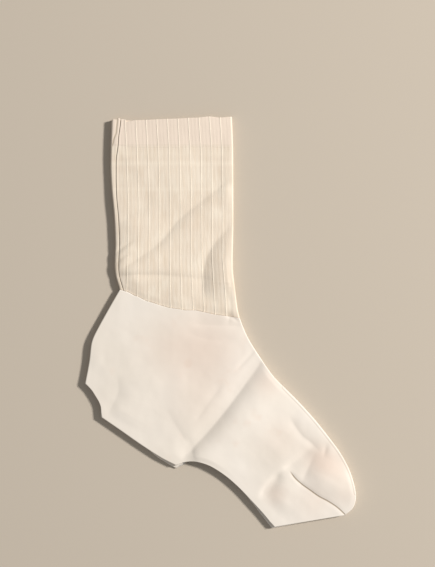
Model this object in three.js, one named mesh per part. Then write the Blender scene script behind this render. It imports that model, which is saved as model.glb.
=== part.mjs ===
import * as THREE from "three";

// A pair of cycling overshoes laid flat, the second one under the first, both with the toe to the
// right and down. Millimetres. +X points to the toe's side, +Y up the leg and +Z up from the floor.
// Each overshoe is a ribbed cuff, wrapped into a tube with its seam at the back, and two foot panels
// joined down the instep, down the heel and along the strap and the toe. The heel notch and the arch
// are left open for a shoe's sole.

const WALL = 1.0; // one layer of cloth
const SEAM_GAP = 0.3; // between neighbouring pieces and between layers
const LAYER_STEP = WALL + SEAM_GAP;
const HEM_EXTRA = 0.3; // the turned hem at the cuff's top stands this far out of the top face
const HEM_END = 0.145; // the hem's depth, as a share of the cuff's height
const SEAM_LIP = 0.5; // how far the cuff's two edges stand up at the back seam
const SEAM_LIP_WIDTH = 2.2;
const ANKLE_SLOPE_COS = 0.7; // allows for the ankle seam's steepest part
const EDGE_TAPER = 14; // the cloth rises from its flat edges over this distance
const HIDDEN_RISE = 0.45; // how far the inner layers rise between their edges
const TOP_RISE = 1.5; // how far the top layer rises, before its folds
const FOLD_SEGMENTS = 4; // flats in the half turn at a cuff's fold
const FOOT_CLOTH = { color: 0xefe8da, roughness: 0.6, metalness: 0 };
const CUFF_CLOTH = { color: 0xe8dcc8, roughness: 0.8, metalness: 0 };

// The overshoes from the floor up, each with the rise of its under and its top layer.
const OVERSHOES = [
  { name: "lower", base: 0, underRise: 0, topRise: HIDDEN_RISE, hidden: true },
  { name: "upper", base: 2 * LAYER_STEP, underRise: HIDDEN_RISE, topRise: TOP_RISE, hidden: false },
];

// The back and under edge of a foot panel, from the ankle seam to the rear of the toe. "at" is the
// station, and "peek" how far the lower overshoe's edge lies outside this one (minus is inside).
const BACK_EDGE = [
  { at: 0, x: -82.4, y: 26.6, peek: -0.2, corner: true },
  { at: 1, x: -93.9, y: 6.5, peek: -0.8 },
  { at: 2, x: -104.8, y: -14.6, peek: -1, corner: true },
  { at: 3, x: -107.2, y: -31.5, peek: -1 },
  { at: 4, x: -110.7, y: -50.3, peek: -1, corner: true },
  { at: 5, x: -102.7, y: -59.4, peek: -1 },
  { at: 6, x: -98.1, y: -68.1, peek: -1 },
  { at: 7, x: -97.3, y: -77.8, peek: -1, corner: true },
  { at: 8, x: -81.0, y: -89.0, peek: -1 },
  { at: 9, x: -65.2, y: -100.1, peek: -0.6 },
  { at: 10, x: -48.2, y: -111.0, peek: 1.8 },
  { at: 11, x: -36.1, y: -117.2, peek: 2.6, corner: true },
  { at: 12, x: -28.5, y: -114.1, peek: -0.4 },
  { at: 13, x: -21.0, y: -113.7, peek: -1 },
  { at: 14, x: -10.3, y: -116.5, peek: -1 },
  { at: 15, x: 2.1, y: -124.0, peek: -1 },
  { at: 16, x: 13.5, y: -133.6, peek: -1 },
  { at: 17, x: 27.1, y: -147.8, peek: 1 },
  { at: 18, x: 34.9, y: -156.3, peek: 2.2 },
  { at: 19, x: 43.9, y: -167.4, peek: 2.4, corner: true },
];

// The instep edge of a foot panel, from the ankle seam round the toe, by the same stations.
const FRONT_EDGE = [
  { at: 0, x: 15.7, y: 3.4, corner: true },
  { at: 1, x: 19.2, y: -5.8 },
  { at: 2, x: 23.2, y: -14.2 },
  { at: 4, x: 30.6, y: -26.2 },
  { at: 7, x: 43.5, y: -44.4 },
  { at: 9, x: 54.8, y: -56.0 },
  { at: 11, x: 65.6, y: -67.0 },
  { at: 13, x: 77.6, y: -80.4 },
  { at: 15, x: 88.6, y: -94.2 },
  { at: 16, x: 98.2, y: -107.4 },
  { at: 17, x: 106.3, y: -123.2 },
  { at: 18, x: 110.6, y: -140.6 },
  { at: 18.3, x: 110.0, y: -147.0 },
  { at: 18.6, x: 107.8, y: -152.2 },
  { at: 19, x: 101.3, y: -157.8, corner: true },
];

// The cuff's two folds, by the share of the way down from its top edge.
const CUFF_BACK = [
  { at: 0, x: -89.0, y: 165.4, corner: true },
  { at: 0.15, x: -89.6, y: 144.5 },
  { at: 0.29, x: -89.8, y: 124.8 },
  { at: 0.42, x: -88.9, y: 107.5 },
  { at: 0.57, x: -87.0, y: 87.0 },
  { at: 0.72, x: -86.0, y: 66.3 },
  { at: 0.9, x: -86.1, y: 41.0 },
  { at: 1, x: -82.4, y: 26.6, corner: true },
];
const CUFF_FRONT = [
  { at: 0, x: 9.3, y: 167.6, corner: true },
  { at: 0.13, x: 10.2, y: 145.9 },
  { at: 0.26, x: 10.4, y: 124.6 },
  { at: 0.53, x: 10.5, y: 79.5 },
  { at: 0.76, x: 10.2, y: 42.6 },
  { at: 0.85, x: 11.8, y: 28.0 },
  { at: 0.96, x: 14.1, y: 10.0 },
  { at: 1, x: 15.7, y: 3.4, corner: true },
];

// How far the ankle seam dips below the straight line between its ends, by the share across.
const ANKLE_DIP = [
  { at: 0, dip: 0 },
  { at: 0.06, dip: 0.4 },
  { at: 0.14, dip: 2.3 },
  { at: 0.24, dip: 4.3 },
  { at: 0.4, dip: 5.3 },
  { at: 0.52, dip: 4.4 },
  { at: 0.65, dip: 2.2 },
  { at: 0.78, dip: 2.0 },
  { at: 0.92, dip: 0.8 },
  { at: 1, dip: 0 },
];
// How far the cuff's top edge dips below the straight line between its ends.
const TOP_DIP = [
  { at: 0, dip: 0 },
  { at: 0.08, dip: 0.3 },
  { at: 0.19, dip: 1.2 },
  { at: 0.5, dip: 0.7 },
  { at: 0.7, dip: 0.2 },
  { at: 0.81, dip: -0.5 },
  { at: 0.9, dip: 0.5 },
  { at: 1, dip: 0 },
];
// How far the back seam lies in from the back fold, by the share of the way down the cuff.
const SEAM_INSET = [
  { at: 0, dip: 7.5 },
  { at: 0.12, dip: 6.2 },
  { at: 0.25, dip: 4.6 },
  { at: 0.5, dip: 3.6 },
  { at: 1, dip: 3.2 },
];
const ANKLE_REACH = 4; // stations over which the ankle seam's curve fades out of the foot

// The largest folds and hollows of the top layer, each a soft line with a width and a height.
const FOLDS = [
  { name: "shin crease high", x1: 4, y1: 110, x2: -59, y2: 52, width: 6, height: -0.9 },
  { name: "shin ridge high", x1: 6, y1: 96, x2: -40, y2: 58, width: 7, height: 0.8 },
  { name: "shin crease low", x1: 10, y1: 80, x2: -13, y2: 40, width: 7, height: -1.1 },
  { name: "shin hollow", x1: 0, y1: 66, x2: -2, y2: 22, width: 8, height: -0.7 },
  { name: "ankle wrinkle", x1: -84, y1: 38, x2: -16, y2: 37, width: 4, height: -0.8 },
  { name: "arch ridge", x1: 31, y1: -32, x2: -22, y2: -100, width: 5, height: 1.1 },
  { name: "arch trough", x1: 34, y1: -45, x2: -16, y2: -102, width: 6, height: -1.0 },
  { name: "heel hollow", x1: -82, y1: -50, x2: -84, y2: -70, width: 9, height: -0.9 },
  { name: "strap hollow", x1: -36, y1: -74, x2: -24, y2: -98, width: 5, height: -0.6 },
  { name: "toe ridge", x1: 36, y1: -136, x2: 52, y2: -120, width: 5, height: 1.1 },
  { name: "toe ridge end", x1: 52, y1: -120, x2: 72, y2: -103, width: 5, height: 1.0 },
  { name: "toe hollow", x1: 60, y1: -88, x2: 88, y2: -106, width: 9, height: -1.1 },
  { name: "toe dart", x1: 56, y1: -121, x2: 101, y2: -156, width: 4, height: -1.0 },
];
const FOLD_END = 0.25; // the share of a fold's length over which it fades in and out

// Where the sections stand: stations down the foot, and shares down the cuff and across a panel.
const STATIONS = [
  0, 1, 2, 3, 4, 4.5, 5, 5.5, 6, 7, 8, 9, 10, 10.5, 11, 11.5, 12, 12.5, 13, 14, 15, 16, 17, 18, 18.3,
  18.6, 18.8, 19,
];
const LAST_STATION = STATIONS[STATIONS.length - 1];
const EDGE_STEP = 0.2; // the edge's direction is taken over this many stations either way
const CUFF_DOWN = [0, 0.07, 0.14, 0.15, 0.23, 0.32, 0.42, 0.52, 0.62, 0.72, 0.81, 0.88, 0.94, 1];
const CUFF_ACROSS = [0.012, 0.06, 0.13, 0.23, 0.34, 0.45, 0.56, 0.67, 0.78, 0.88, 0.94, 0.988];
const FOOT_ACROSS = [0, ...CUFF_ACROSS, 1];

const clamp01 = (t) => Math.min(Math.max(t, 0), 1);
const smooth = (t) => clamp01(t) ** 2 * (3 - 2 * clamp01(t));
const mix = (a, b, t) => a + (b - a) * t;

// The row of a table that a station falls after, and the share of the way to the next row.
function placeIn(rows, at) {
  let row = 0;
  while (row < rows.length - 2 && at > rows[row + 1].at) row += 1;
  return { row, share: (at - rows[row].at) / (rows[row + 1].at - rows[row].at) };
}

// A function of the station: a smooth line through a table's points, broken at its corners.
function edgeThrough(rows) {
  const runs = [];
  let start = 0;
  rows.forEach((row, i) => {
    if (i === start || !row.corner) return;
    const run = rows.slice(start, i + 1);
    const points = run.map((r) => new THREE.Vector3(r.x, r.y, 0));
    runs.push({ run, curve: new THREE.CatmullRomCurve3(points, false, "centripetal") });
    start = i;
  });
  return (at) => {
    const { run, curve } = runs.find((r) => at <= r.run[r.run.length - 1].at);
    const { row, share } = placeIn(run, at);
    return curve.getPoint(clamp01((row + share) / (run.length - 1)));
  };
}

// A value of a table at a station, eased from row to row.
function valueAt(rows, key, at) {
  const { row, share } = placeIn(rows, at);
  return mix(rows[row][key], rows[row + 1][key], smooth(share));
}

// How far a layer stands up at a point, given its distance from the nearest edge. Only the top
// layer has folds, and they never press it into the layer below.
function swell(x, y, inset, rise) {
  let height = rise;
  for (const fold of rise === TOP_RISE ? FOLDS : []) {
    const run = new THREE.Vector2(fold.x2 - fold.x1, fold.y2 - fold.y1);
    const from = new THREE.Vector2(x - fold.x1, y - fold.y1);
    const along = from.dot(run) / run.lengthSq();
    const off = from.cross(run) / run.length();
    const ends = smooth(along / FOLD_END + 0.5) * smooth((1 - along) / FOLD_END + 0.5);
    height += fold.height * ends * Math.exp(-((off / fold.width) ** 2));
  }
  return Math.max(height, Math.min(rise, HIDDEN_RISE)) * smooth(inset / EDGE_TAPER);
}

// A closed wall between two grids of points with the same rows and columns.
function wallBetween(outer, inner) {
  const rows = outer.length;
  const columns = outer[0].length;
  const points = [...outer.flat(), ...inner.flat()];
  const outerAt = (i, j) => i * columns + j;
  const innerAt = (i, j) => rows * columns + i * columns + j;
  const quads = [];
  for (let i = 0; i < rows - 1; i += 1) {
    for (let j = 0; j < columns - 1; j += 1) {
      quads.push([outerAt(i, j), outerAt(i, j + 1), outerAt(i + 1, j + 1), outerAt(i + 1, j)]);
      quads.push([innerAt(i, j), innerAt(i + 1, j), innerAt(i + 1, j + 1), innerAt(i, j + 1)]);
    }
  }
  for (let i = 0; i < rows - 1; i += 1) {
    const last = columns - 1;
    quads.push([outerAt(i, 0), outerAt(i + 1, 0), innerAt(i + 1, 0), innerAt(i, 0)]);
    quads.push([outerAt(i + 1, last), outerAt(i, last), innerAt(i, last), innerAt(i + 1, last)]);
  }
  for (let j = 0; j < columns - 1; j += 1) {
    const last = rows - 1;
    quads.push([outerAt(0, j + 1), outerAt(0, j), innerAt(0, j), innerAt(0, j + 1)]);
    quads.push([outerAt(last, j), outerAt(last, j + 1), innerAt(last, j + 1), innerAt(last, j)]);
  }
  const index = quads.flatMap(([a, b, c, d]) => [a, b, c, a, c, d]);
  const geometry = new THREE.BufferGeometry();
  geometry.setAttribute(
    "position",
    new THREE.Float32BufferAttribute(points.flatMap((p) => [p.x, p.y, p.z]), 3),
  );
  geometry.setIndex(facingOut(points, index));
  geometry.computeVertexNormals();
  return geometry;
}

// The same triangles, turned round if they enclose a negative volume.
function facingOut(points, index) {
  let volume = 0;
  for (let i = 0; i < index.length; i += 3) {
    const [a, b, c] = [points[index[i]], points[index[i + 1]], points[index[i + 2]]];
    volume += a.dot(b.clone().cross(c));
  }
  return volume > 0 ? index : index.reverse();
}

const backEdge = edgeThrough(BACK_EDGE);
const frontEdge = edgeThrough(FRONT_EDGE);
const cuffBack = edgeThrough(CUFF_BACK);
const cuffFront = edgeThrough(CUFF_FRONT);

// The lower overshoe's back edge is the same line moved square to itself by its "peek".
function backPoint(at, hidden) {
  const point = backEdge(at);
  if (!hidden) return point;
  const ahead = backEdge(Math.min(at + EDGE_STEP, LAST_STATION));
  const behind = backEdge(Math.max(at - EDGE_STEP, 0));
  const along = ahead.sub(behind).normalize();
  const peek = valueAt(BACK_EDGE, "peek", at);
  return new THREE.Vector3(point.x + along.y * peek, point.y - along.x * peek, 0);
}

// The distance in plan from a point to the nearest part of an open line of points.
function distanceToLine(line, point) {
  const nearest = new THREE.Vector3();
  let least = Infinity;
  for (let i = 1; i < line.length; i += 1) {
    new THREE.Line3(line[i - 1], line[i]).closestPointToPoint(point, true, nearest);
    least = Math.min(least, nearest.distanceTo(point));
  }
  return least;
}

// One foot panel: ruled sections between its two edges, with a wall's thickness above "base".
function footPanel(overshoe, base, rise) {
  const backLine = STATIONS.map((at) => backPoint(at, overshoe.hidden));
  const frontLine = STATIONS.map((at) => frontEdge(at));
  const outline = [...backLine, ...frontLine.toReversed()];
  const sections = STATIONS.map((at, row) => {
    const dipShare = clamp01(1 - at / ANKLE_REACH) ** 2;
    return FOOT_ACROSS.map((across) => {
      const point = backLine[row].clone().lerp(frontLine[row], across);
      const inset = distanceToLine(outline, point);
      point.y -= dipShare * valueAt(ANKLE_DIP, "dip", across);
      point.z = base + swell(point.x, point.y, inset, rise);
      return point;
    });
  });
  const top = sections.map((row) => row.map((p) => new THREE.Vector3(p.x, p.y, p.z + WALL)));
  return wallBetween(top, sections);
}

// One cuff: a panel wrapped round from the back seam, over the back fold, along the under side,
// over the front fold and back along the top side to the seam.
function cuff(overshoe) {
  const outer = [];
  const inner = [];
  for (const down of CUFF_DOWN) {
    const { back, front, dip: rowDip } = cuffRow(down);
    const width = front.distanceTo(back);
    const along = front.clone().sub(back).normalize();
    const turn = WALL + SEAM_GAP / 2;
    const seam = valueAt(SEAM_INSET, "dip", down);
    const hem = down < HEM_END && !overshoe.hidden ? HEM_EXTRA : 0;
    const at = (inset, depth, top) => {
      const share = clamp01(inset / width);
      const x = back.x + along.x * inset;
      const y = back.y + along.y * inset - rowDip(share);
      const edge = Math.max(Math.min(inset, width - inset) - turn, 0);
      const rise = swell(x, y, edge, top ? overshoe.topRise : overshoe.underRise);
      const nearSeam = 1 - smooth(Math.abs(inset - seam) / SEAM_LIP_WIDTH);
      const lip = overshoe.hidden ? 0 : SEAM_LIP * nearSeam;
      const middle = overshoe.base + turn;
      return new THREE.Vector3(x, y, rise + (top ? middle + depth + lip : middle - depth));
    };
    const outerRow = [];
    const innerRow = [];
    const flat = (inset, top) => {
      outerRow.push(at(inset, turn + (top ? hem : 0), top));
      innerRow.push(at(inset, turn - WALL, top));
    };
    const fold = (inset, direction, fromTop) => {
      for (let i = 1; i < FOLD_SEGMENTS; i += 1) {
        const angle = (Math.PI * i) / FOLD_SEGMENTS;
        const out = Math.sin(angle);
        const up = Math.cos(angle) * (fromTop ? 1 : -1);
        const middle = overshoe.base + turn;
        for (const [row, radius] of [[outerRow, turn], [innerRow, turn - WALL]]) {
          const reach = inset + direction * out * radius;
          const x = back.x + along.x * reach;
          const y = back.y + along.y * reach - rowDip(clamp01(reach / width));
          row.push(new THREE.Vector3(x, y, middle + up * radius));
        }
      }
    };
    const flats = CUFF_ACROSS.map((share) => share * width);
    const beyondSeam = flats.filter((inset) => inset > SEAM_INSET[0].dip + SEAM_LIP_WIDTH);
    flat(seam - SEAM_GAP / 2, true);
    flat(flats[0], true);
    fold(flats[0], -1, true);
    flats.forEach((inset) => flat(inset, false));
    fold(flats[flats.length - 1], 1, false);
    beyondSeam.reverse().forEach((inset) => flat(inset, true));
    flat(seam + SEAM_LIP_WIDTH, true);
    flat(seam + SEAM_GAP / 2, true);
    outer.push(outerRow);
    inner.push(innerRow);
  }
  return wallBetween(outer, inner);
}

// The two ends of a cuff's row and the dip of the row between them.
function cuffRow(down) {
  const back = cuffBack(down);
  const front = cuffFront(down);
  const lift = down === 1 ? SEAM_GAP / ANKLE_SLOPE_COS : 0;
  back.y += lift;
  front.y += lift;
  const dip = (share) =>
    (1 - down) * valueAt(TOP_DIP, "dip", share) + down * valueAt(ANKLE_DIP, "dip", share);
  return { back, front, dip };
}

function piece(name, geometry, cloth) {
  const mesh = new THREE.Mesh(geometry, new THREE.MeshStandardMaterial(cloth));
  mesh.name = name;
  return mesh;
}

const overshoes = new THREE.Group();
for (const overshoe of OVERSHOES) {
  const { name, base, underRise, topRise } = overshoe;
  const under = footPanel(overshoe, base, underRise);
  const top = footPanel(overshoe, base + LAYER_STEP, topRise);
  overshoes.add(piece(`${name}_cuff`, cuff(overshoe), CUFF_CLOTH));
  overshoes.add(piece(`${name}_foot_under`, under, FOOT_CLOTH));
  overshoes.add(piece(`${name}_foot_top`, top, FOOT_CLOTH));
}

// The frame's origin is under the middle of the whole pair, on the floor.
const extent = new THREE.Box3().setFromObject(overshoes);
const centre = extent.getCenter(new THREE.Vector3());
overshoes.position.set(-centre.x, -centre.y, -extent.min.z);

export default overshoes;
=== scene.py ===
import math
import types

import bpy
import numpy as np
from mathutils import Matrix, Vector


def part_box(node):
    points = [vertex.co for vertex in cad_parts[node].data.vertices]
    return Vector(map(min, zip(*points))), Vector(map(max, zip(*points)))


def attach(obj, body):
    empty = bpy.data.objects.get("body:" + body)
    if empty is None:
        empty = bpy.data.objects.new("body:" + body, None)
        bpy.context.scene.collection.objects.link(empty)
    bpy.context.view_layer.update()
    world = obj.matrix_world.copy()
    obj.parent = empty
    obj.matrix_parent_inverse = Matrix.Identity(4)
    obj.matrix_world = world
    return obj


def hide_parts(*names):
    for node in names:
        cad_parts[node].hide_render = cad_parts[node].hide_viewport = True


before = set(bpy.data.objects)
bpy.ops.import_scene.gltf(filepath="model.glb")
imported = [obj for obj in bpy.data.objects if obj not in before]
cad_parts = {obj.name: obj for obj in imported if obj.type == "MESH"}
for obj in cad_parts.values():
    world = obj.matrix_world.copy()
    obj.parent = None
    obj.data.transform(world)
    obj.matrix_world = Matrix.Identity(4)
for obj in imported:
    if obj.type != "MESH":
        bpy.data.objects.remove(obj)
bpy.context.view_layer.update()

bl_info = {
    "name": "Cycling overshoes laid flat",
    "version": (1, 0, 0),
    "blender": (4, 5, 0),
    "location": "3D View > Sidebar > Overshoes",
    "description": "Builds a pair of stretch overshoes, one lying on the other, over their packed solids",
    "category": "Add Mesh",
}

# Sizes below are in millimetres in the garment's own plan, +X to the toe and +Y up the leg.
# "mm" turns them into metres, and PLAN_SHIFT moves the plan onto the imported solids.
MM = 0.001
HEEL_TIP_X = -110.7
TOE_REAR_Y = -167.4
FOOT_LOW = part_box("upper_foot_top")[0]
PLAN_SHIFT = (FOOT_LOW[0] - HEEL_TIP_X * MM, FOOT_LOW[1] - TOE_REAR_Y * MM)

WALL = 1.0  # a packed layer and the gap above it set where each layer of cloth lies
SEAM_GAP = 0.3
LAYER_STEP = WALL + SEAM_GAP
HIDDEN_RISE = 0.45  # the inner layers stand this high inside
EDGE_TAPER = 14.0  # and rise to it over this distance from the edge
EDGE_LIFT = 0.9  # the top layer stands this high where it is sewn down
MIDDLE_LIFT = 1.9  # and this high inside, reached slowly
SWELL_REACH = 34.0
LEAST_LIFT = 0.3  # no crease presses the top layer lower than this
FLOOR_ROUNDING = 0.16  # how softly it meets that level, in square millimetres
EDGE_SHARE = 0.72  # the share of a fold's height that reaches the edge
FREE_REACH = 5.0  # a fold has its whole height this far inside
LAST_STATION = 19.0
EDGE_STEP = 0.2  # an edge's direction is taken over this many stations either way

# station, x, y, peek of the lower overshoe's edge, corner
BACK_EDGE = [
    (0, -82.4, 26.6, -0.2, True),
    (1, -93.9, 6.5, -0.8, False),
    (1.85, -103.5, -11.5, -1.0, False),
    (2.15, -105.4, -17.0, -1.0, False),
    (3, -107.2, -31.5, -1.0, False),
    (4, -110.7, -50.3, -1.0, True),
    (4.5, -106.0, -54.6, -1.0, False),
    (5, -102.7, -59.4, -1.0, False),
    (6, -98.1, -68.1, -1.0, False),
    (7, -97.3, -77.8, -1.0, True),
    (8, -81.0, -89.0, -1.0, False),
    (9, -65.2, -100.1, -0.6, False),
    (10, -48.2, -111.0, 1.8, False),
    (11, -36.1, -117.2, 2.6, True),
    (11.5, -32.6, -115.3, 1.0, False),
    (12, -28.5, -114.1, -0.4, False),
    (13, -21.0, -113.7, -1.0, False),
    (14, -10.3, -116.5, -1.0, False),
    (15, 2.1, -124.0, -1.0, False),
    (16, 13.5, -133.6, -1.0, False),
    (17, 27.1, -147.8, 1.0, False),
    (18, 34.9, -156.3, 2.2, False),
    (19, 43.9, -167.4, 2.4, True),
]
# station, x, y, corner
FRONT_EDGE = [
    (0, 15.7, 3.4, True),
    (1, 19.2, -5.8, False),
    (2, 23.2, -14.2, False),
    (4, 30.6, -26.2, False),
    (7, 43.5, -44.4, False),
    (9, 54.8, -56.0, False),
    (11, 65.6, -67.0, False),
    (13, 77.6, -80.4, False),
    (15, 88.6, -94.2, False),
    (16, 98.2, -107.4, False),
    (17, 106.3, -123.2, False),
    (18, 110.6, -140.6, False),
    (18.3, 110.0, -147.0, False),
    (18.6, 107.8, -152.2, False),
    (19, 101.3, -157.8, True),
]
# share of the way down, x, y, corner
CUFF_BACK = [
    (0, -89.0, 165.4, True),
    (0.15, -89.6, 144.5, False),
    (0.29, -89.8, 124.8, False),
    (0.42, -88.9, 107.5, False),
    (0.57, -87.0, 87.0, False),
    (0.72, -86.0, 66.3, False),
    (0.9, -86.1, 41.0, False),
    (1, -82.4, 26.6, True),
]
CUFF_FRONT = [
    (0, 9.3, 167.6, True),
    (0.13, 10.2, 145.9, False),
    (0.26, 10.4, 124.6, False),
    (0.53, 10.5, 79.5, False),
    (0.76, 10.2, 42.6, False),
    (0.85, 11.8, 28.0, False),
    (0.96, 14.1, 10.0, False),
    (1, 15.7, 3.4, True),
]
# share across, dip in millimetres below the straight line between the ends
ANKLE_DIP = [
    (0, 0), (0.06, 0.4), (0.14, 2.3), (0.24, 4.3), (0.4, 5.3),
    (0.52, 4.4), (0.65, 2.2), (0.78, 2.0), (0.92, 0.8), (1, 0),
]
TOP_DIP = [(0, 0), (0.08, 0.3), (0.19, 1.2), (0.5, 0.7), (0.7, 0.2), (0.81, -0.5), (0.9, 0.5), (1, 0)]
SEAM_INSET = [(0, 7.5), (0.12, 6.2), (0.25, 4.6), (0.5, 3.6), (1, 3.2)]
ANKLE_REACH = 4.0

# The creases of the top layer. Each line runs upward. The cloth dips softly to the line from the
# left, over "west", then climbs on its right, over "east", and settles back further on. A crease
# with something to its right is nearly straight, since a bend would pinch the cloth inside it.
# name, line, west, east, dip, climb, strength at the line's last point as a share of the first's
FOLDS = [
    ("arch crease", [(-33, -113), (-9, -88), (10.8, -63.4), (27, -40.6), (41, -19)], 8.5, 7.4, 1.0, 3.7, 0.8),
    ("arch crease near", [(-22, -84), (-9, -65), (4, -47)], 4.5, 2.6, 0.25, 0.12, 1.0),
    ("instep line", [(10, -42), (20, -32), (32, -18)], 2.5, 1.8, 0.35, 0.2, 1.0),
    ("instep wrinkle", [(-26, -1.5), (0, -2.8), (22, -3.2)], 5.0, 3.4, 0.22, 0.24, 1.4),
    ("instep wrinkle low", [(-30, -8), (-6, -15), (16, -13)], 4.0, 4.5, 0.12, 0.25, 1.0),
    ("strap hollow", [(-25.8, -101.8), (-34, -88), (-46, -70)], 7.0, 5.0, 0.35, 0.6, 0.3),
    ("strap crease", [(-20.5, -116), (-24, -102), (-27, -91)], 3.0, 2.6, 0.3, 0.35, 0.6),
    ("heel hollow", [(-93, -76), (-87, -65), (-83, -54), (-85.5, -40)], 14.0, 7.0, 0.15, 1.4, 0.5),
    ("toe crease rear", [(31, -145), (38, -136.3), (45, -127.7), (52, -119)], 3.0, 8.0, 1.7, 1.6, 0.9),
    ("toe crease front", [(47, -123.4), (57.3, -116.3), (67.7, -109.1), (78, -102)], 2.6, 9.0, 1.6, 1.2, 0.8),
    ("toe shade", [(63, -138), (68.7, -125.3), (74.3, -112.7), (80, -100)], 4.0, 12.0, 0.3, 3.5, 0.9),
    ("toe curl", [(82, -107), (74, -98.5), (67, -93), (61, -85), (55, -75)], 4.0, 4.0, 0.5, 0.6, 0.7),
    ("toe nick", [(83.5, -111), (85.5, -105), (88, -98)], 2.0, 2.2, 0.4, 0.6, 0.6),
    ("shin crease", [(-84, 41), (-62, 55.4), (-47.3, 67), (-36.6, 80.8), (-18.6, 96.4), (8, 117)],
     5.0, 4.6, 0.4, 1.2, 1.0),
    ("shin fold", [(-13, 14), (-14.5, 37), (-8.5, 59), (14, 85)], 5.0, 12.5, 0.5, 4.7, 0.8),
    ("shin edge fold", [(-3, 88), (-1, 125), (1, 156)], 4.0, 7.0, 0.15, 0.7, 0.6),
    ("shin crease back", [(-84, 80), (-69, 90), (-52, 100)], 4.0, 4.5, 0.2, 0.5, 0.6),
    ("back nick high", [(-92, 53), (-81, 60), (-69, 67.5)], 2.0, 2.2, 1.0, 1.1, 0.4),
    ("back nick low", [(-92, 44), (-82, 51), (-72, 58)], 2.0, 2.2, 0.8, 0.9, 0.4),
    ("back shade", [(-84, 24), (-86, 52), (-87, 88)], 3.0, 6.5, 0.3, 1.8, 0.6),
    ("ankle wrinkle", [(-2, 34), (-44.7, 38.2), (-70, 38.6), (-95, 36.5)], 3.5, 3.0, 0.16, 0.22, 4.4),
    ("ankle front crease", [(6, -4), (8.2, 12), (6, 28)], 2.0, 2.4, 0.3, 0.35, 0.6),
    ("ankle fold", [(17, -1), (9, 4.5), (-2, 7)], 1.8, 2.0, 0.7, 0.6, 0.4),
]
SETTLE = 3.9  # a climb settles back over this many times its "east" width
FADE = 1.6  # a crease's ends fade over this many times that width
LEAST_FADE = 10.0  # and over this distance at least
ONSET = 1.15  # how softly a climb begins: 1 is a sharp turn
# Places where the foot is drawn faintly darker and pinker: x, y, radius, strength. The small one is a stain
# on the cloth
TINTS = [
    (-12, -20, 30.0, 0.85),
    (-45, -20, 22.0, 0.35),
    (-26.6, -33.7, 2.6, 0.75),
    (-18, -62, 26.0, 0.35),
    (50, -96, 18.0, 0.4),
]
# Darker places that stand in for shade in the hollows of the toe and beside the instep. They are
# not marks on the cloth: x, y, radius, strength
SHADES = [
    (82, -112, 13.0, 1.0),
    (76, -146, 16.0, 0.4),
    (97, -120, 12.0, 0.6),
    (103, -140, 10.0, 0.4),
    (39, -49, 12.0, 0.6),
    (45, -140, 9.0, 0.6),
]
# Broad soft swells: name, x, y, radius, height
SWELLS = [
    ("ball", 40, -85, 26.0, 0.5),
    ("heel", -62, -28, 30.0, 0.3),
]
TOE_DART = [
    (56.5, -121.5), (60.5, -127.0), (66, -132), (73, -137),
    (80, -142), (87.5, -146), (95, -151), (101, -156.5),
]
RIB_COUNT = 10
RIB_WANDER = 0.07  # a rib strays this far from its line
# height up the leg, x of the first rib, spacing of the ribs
RIB_ROWS = [
    (2, -76.6, 9.05),
    (22, -76.8, 8.97),
    (51, -75.8, 8.61),
    (100, -75.4, 8.55),
    (141, -76.8, 8.67),
    (168, -78.2, 8.62),
]
WALES = 3  # soft wales between one rib and the next
FAR = 9.0  # stands for "nowhere near" in the line attributes


def mix(a, b, t):
    return a + (b - a) * t


def smooth(t):
    t = np.clip(t, 0.0, 1.0)
    return t * t * (3.0 - 2.0 * t)


def table_value(rows, at, column=1):
    """A table's value at a station, eased from row to row."""
    at = np.asarray(at, dtype=float)
    keys = np.array([row[0] for row in rows], dtype=float)
    values = np.array([row[column] for row in rows], dtype=float)
    i = np.clip(np.searchsorted(keys, at, side="right") - 1, 0, len(rows) - 2)
    share = (at - keys[i]) / (keys[i + 1] - keys[i])
    return mix(values[i], values[i + 1], smooth(share))


def curve_point(points, position):
    """A centripetal smooth line through points, at a position counted in points."""
    last = len(points) - 1
    i = min(int(position), last - 1)
    t = position - i
    before = points[i - 1] if i > 0 else 2 * points[0] - points[1]
    after = points[i + 2] if i + 2 <= last else 2 * points[last] - points[last - 1]
    p = [before, points[i], points[i + 1], after]
    d = [math.sqrt(max(np.linalg.norm(p[k + 1] - p[k]), 1e-6)) for k in range(3)]
    start = ((p[1] - p[0]) / d[0] - (p[2] - p[0]) / (d[0] + d[1]) + (p[2] - p[1]) / d[1]) * d[1]
    end = ((p[2] - p[1]) / d[1] - (p[3] - p[1]) / (d[1] + d[2]) + (p[3] - p[2]) / d[2]) * d[1]
    a = 2 * p[1] - 2 * p[2] + start + end
    b = -3 * p[1] + 3 * p[2] - 2 * start - end
    return a * t**3 + b * t**2 + start * t + p[1]


def edge_through(rows):
    """A function of the station: a smooth line through a table's points, broken at its corners."""
    runs, start = [], 0
    for i, row in enumerate(rows):
        if i > start and row[-1]:
            runs.append(rows[start : i + 1])
            start = i

    def point(at):
        run = next((r for r in runs if at <= r[-1][0] + 1e-9), runs[-1])
        keys = [r[0] for r in run]
        i = 0
        while i < len(run) - 2 and at > keys[i + 1]:
            i += 1
        share = (at - keys[i]) / (keys[i + 1] - keys[i])
        points = [np.array(r[1:3], dtype=float) for r in run]
        return curve_point(points, i + min(max(share, 0.0), 1.0))

    return point


back_edge = edge_through(BACK_EDGE)
front_edge = edge_through(FRONT_EDGE)
cuff_back = edge_through(CUFF_BACK)
cuff_front = edge_through(CUFF_FRONT)


def back_point(at, hidden):
    point = back_edge(at)
    if not hidden:
        return point
    ahead = back_edge(min(at + EDGE_STEP, LAST_STATION))
    behind = back_edge(max(at - EDGE_STEP, 0.0))
    along = (ahead - behind) / np.linalg.norm(ahead - behind)
    peek = float(table_value(BACK_EDGE, at, 3))
    return point + peek * np.array([along[1], -along[0]])


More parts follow.
